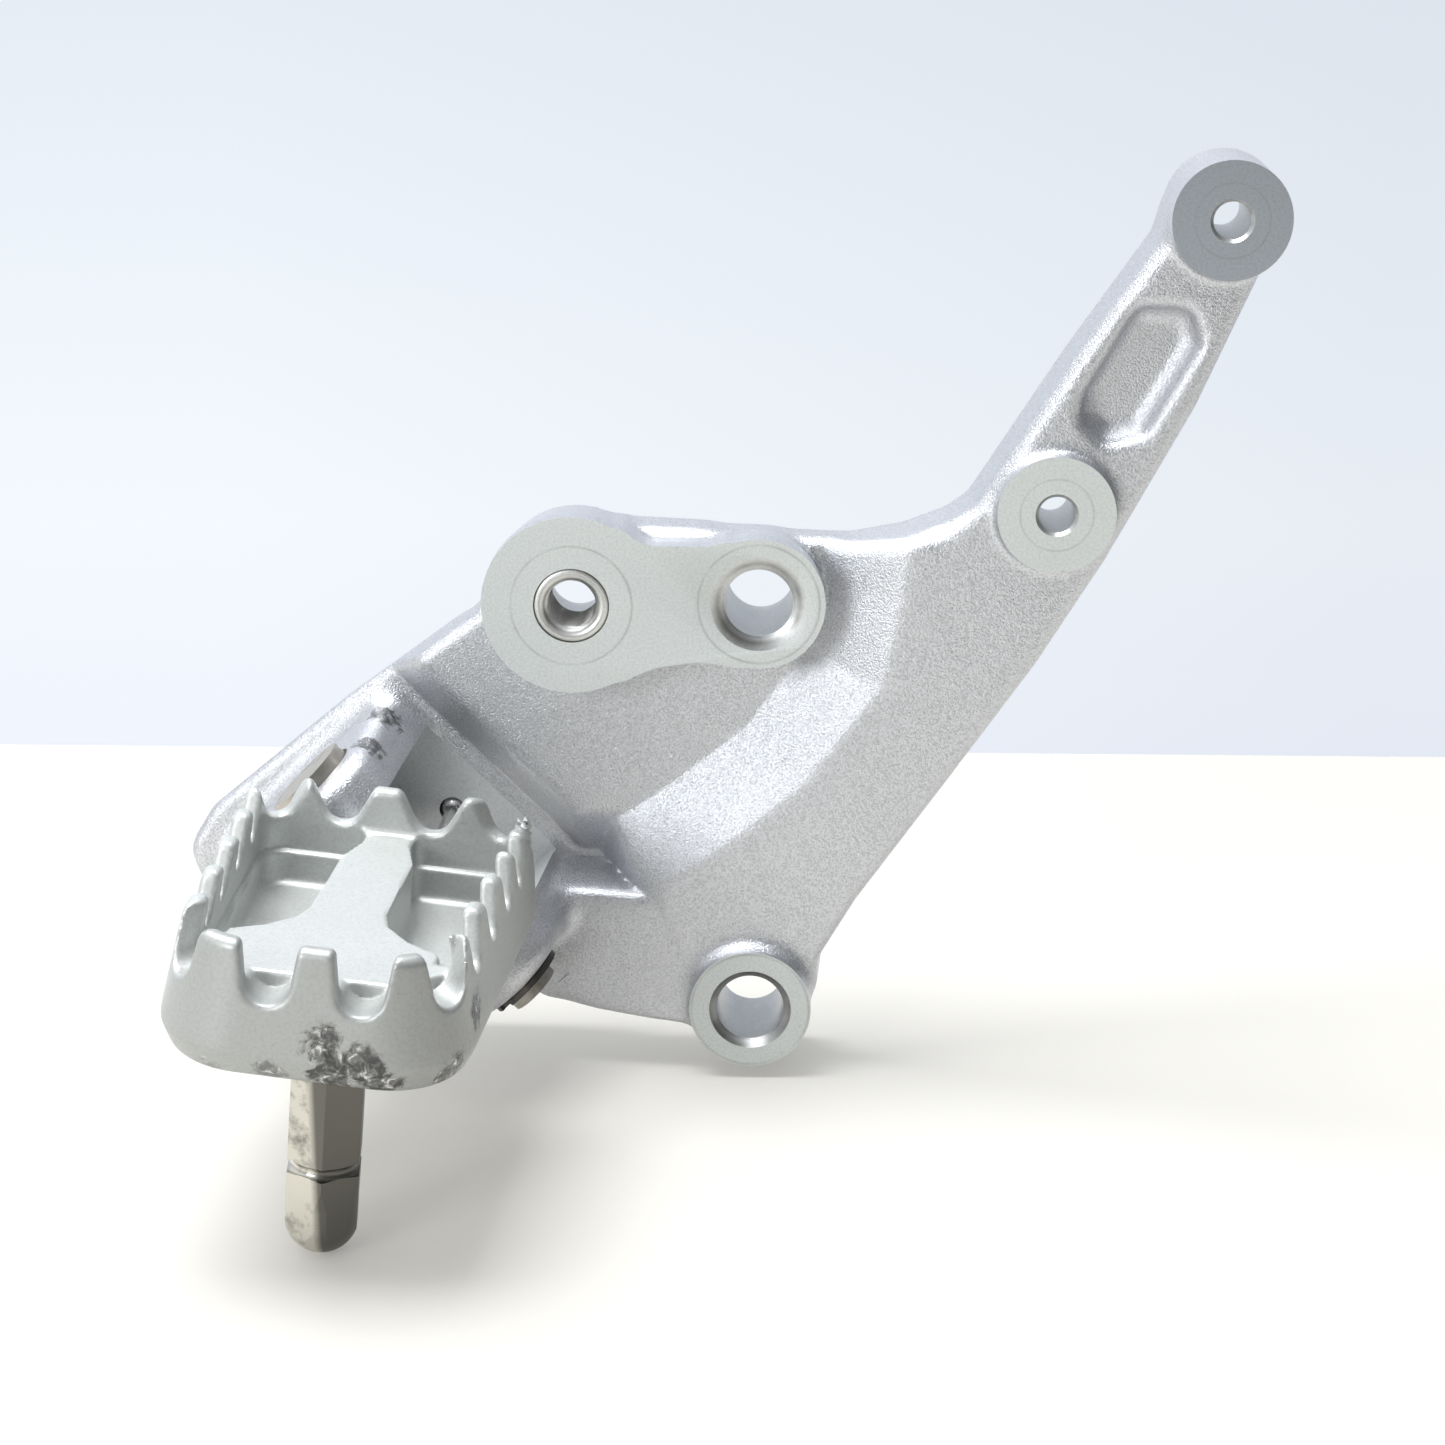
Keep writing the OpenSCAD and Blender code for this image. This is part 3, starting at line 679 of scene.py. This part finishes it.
# painted shade: the dull rows paint the peg's outer end and its right side darker
peg_paint = cast_paint("peg_silver", (0.57, 0.585, 0.57), 0.5, 0.6, 0.3, 0.34, scuffs=[
    (on_peg(3, -2, -15), 7.5, 0.9), (on_peg(5, -1, -20), 9, 0.95), (on_peg(9, -1.5, -18), 8, 0.9),
    (on_peg(12, -1, -21), 8, 0.9), (on_peg(14, -1, -21), 6, 0.9), (on_peg(23, 6, -20), 7, 0.9),
    (on_peg(25, 14, -13), 7.5, 0.85), (on_peg(-5, -2, -22), 6, 0.7), (on_peg(-15, 2, -22.5), 5.5, 0.6)],
    dull=[(on_peg(0, 75, -8), 67, 7, 0.36), (on_peg(-20, 30, -10), 42, 16, 0.42)])
shared_slots(peg, [peg_paint])

feeler_x = on_peg(1.6, 14.5, -42)[0]
for node, mat in (
        # the feeler's last argument paints it dark from just left of its middle to its right side: a
        # painted reflection
        ("lean_feeler", steel("feeler_bright", (0.62, 0.60, 0.54), 0.06, 0.95, 0.1, feeler_x - 1.8)),
        ("pivot_pin", steel("pin_plated", (0.50, 0.47, 0.42), 0.33, 0.6)),
        ("return_spring", steel("spring_wire", (0.92, 0.92, 0.90), 0.22, 0.1)),
        ("pin_washer", steel("washer_plated", (0.52, 0.50, 0.46), 0.3, 0.5)),
        ("e_clip", steel("clip_black", (0.12, 0.115, 0.11), 0.35, 0.6))):
    shared_slots(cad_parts[node], [mat])
    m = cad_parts[node].data
    if node != "lean_feeler":
        m.polygons.foreach_set("use_smooth", np.ones(len(m.polygons), bool))

insert_face = machined("insert_face", (0.72, 0.72, 0.70), [INSERT], 0.33, 0.9,
                               mark=[(6.75, 0.3, 0.95), (5.05, 0.35, 0.9), (5.9, 0.2, 0.6)])
shared_slots(insert, [insert_face])
shared_slots(anchor, [steel("anchor_bright", (0.85, 0.85, 0.84), 0.12, 0.2)])
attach(anchor, "hanger")
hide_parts("threaded_insert")
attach(insert, "hanger")
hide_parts("hanger_bracket")
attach(bracket, "hanger")
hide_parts("foot_peg")
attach(peg, "peg")

# ---------------------------------------------------------------- stage, light and camera
low_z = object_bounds()[0][2]


def flat_mat(name, tint, rough, glow):
    n = Nodes(name)
    base = n.mix(n.noise(6, 3), tint, tuple(c * 0.985 for c in tint))
    n.set(Base_Color=base, Roughness=rough, Emission_Color=(1.0, 0.985, 0.94, 1), Emission_Strength=glow)
    return n.mat


def quad(name, pts, mat):
    m = bpy.data.meshes.new(name)
    m.from_pydata(pts, [], [list(range(len(pts)))])
    o = bpy.data.objects.new(name, m)
    bpy.context.scene.collection.objects.link(o)
    m.materials.append(mat)
    return o


# the table glows a little, to keep its shadows as light as in the photo
TABLE_END = 0.205
quad("table", [(-2.0, -2.0, low_z), (2.0, -2.0, low_z), (2.0, TABLE_END, low_z), (-2.0, TABLE_END, low_z)],
     flat_mat("table_white", (0.45, 0.435, 0.40), 0.5, 0.27))
# the backdrop glows with painted light: darker upwards and towards the right, a little darker again at the
# very bottom
back = Nodes("backdrop_pale")
sep = back.new("ShaderNodeSeparateXYZ", {"Vector": back.co})
rise = back.new("ShaderNodeMapRange", {"Value": sep.outputs["Z"], "From Min": -0.75, "From Max": 0.12})
across = back.new("ShaderNodeMapRange", {"Value": sep.outputs["X"], "From Min": -0.45, "From Max": 0.45})
rise, across = rise.outputs[0], across.outputs[0]
shade = back.ramp(rise, [(0.0, (0.84, 0.88, 0.98)), (0.35, (0.90, 0.94, 0.99)), (0.6, (0.84, 0.89, 0.95)),
                         (1.0, (0.74, 0.79, 0.87))])
shade = back.mix(back.math("MULTIPLY", across, 0.35), shade, (0.60, 0.65, 0.72))
back.set(Base_Color=(0.01, 0.01, 0.01, 1), Roughness=1.0, Emission_Color=shade, Emission_Strength=1.0)
quad("backdrop", [(-3, 1.9, -2.2), (3, 1.9, -2.2), (3, 1.9, 2.0), (-3, 1.9, 2.0)], back.mat)


def area(name, loc, target, size, power, colour):
    d = bpy.data.lights.new(name, "AREA")
    d.energy, d.size, d.color = power, size, colour
    o = bpy.data.objects.new(name, d)
    bpy.context.scene.collection.objects.link(o)
    o.location = loc
    o.rotation_mode = "QUATERNION"
    o.rotation_quaternion = (Vector(target) - Vector(loc)).to_track_quat("-Z", "Y")
    return o


area("key_top", (-0.25, 0.0, 0.95), (0, 0, 0), 0.6, 15.5, (0.96, 0.98, 1.0))
area("side_left", (-0.68, -0.94, 0.34), (0, 0, -0.02), 0.42, 5.2, (0.96, 0.98, 1.0))

# the room: bright overhead and to the left, dim on the right and behind the camera
world = bpy.data.worlds.new("studio")
world.use_nodes = True
wt = world.node_tree
wsep = wt.nodes.new("ShaderNodeSeparateXYZ")
wt.links.new(wt.nodes.new("ShaderNodeTexCoord").outputs["Generated"], wsep.inputs[0])


def world_math(op, a, b):
    n = wt.nodes.new("ShaderNodeMath")
    n.operation = op
    for socket, v in zip(n.inputs, (a, b)):
        if isinstance(v, float):
            socket.default_value = v
        else:
            wt.links.new(v, socket)
    return n.outputs[0]


lean = world_math("ADD", world_math("MULTIPLY", wsep.outputs["Z"], 0.62),
                  world_math("ADD", world_math("MULTIPLY", wsep.outputs["X"], -0.42),
                             world_math("MULTIPLY", wsep.outputs["Y"], 0.20)))
wramp = wt.nodes.new("ShaderNodeValToRGB")
wt.links.new(world_math("ADD", world_math("MULTIPLY", lean, 0.5), 0.5), wramp.inputs[0])
wramp.color_ramp.elements.new(0.55)
room = [(0.30, (0.05, 0.05, 0.045)), (0.52, (0.24, 0.25, 0.26)), (0.85, (1.2, 1.22, 1.25))]
for e, (p, c) in zip(wramp.color_ramp.elements, room):
    e.position, e.color = p, (*c, 1)
wt.links.new(wramp.outputs[0], wt.nodes["Background"].inputs[0])
wt.nodes["Background"].inputs[1].default_value = 0.85
bpy.context.scene.world = world
bpy.context.scene.view_settings.view_transform = "Standard"

cam = bpy.data.cameras.new("photo_view")
cam.sensor_width = 36
cam.lens = 3200 / 1445 * 36
cam.clip_start, cam.clip_end = 0.02, 20
eye = bpy.data.objects.new("photo_view", cam)
bpy.context.scene.collection.objects.link(eye)
pitch, yaw = math.radians(17.17), math.radians(-1.65)
ahead = Vector((math.sin(yaw) * math.cos(pitch), math.cos(yaw) * math.cos(pitch), -math.sin(pitch)))
eye.location = (0.0096, -0.5622, 0.1513)
eye.rotation_mode = "QUATERNION"
eye.rotation_quaternion = ahead.to_track_quat("-Z", "Y")
bpy.context.scene.camera = eye
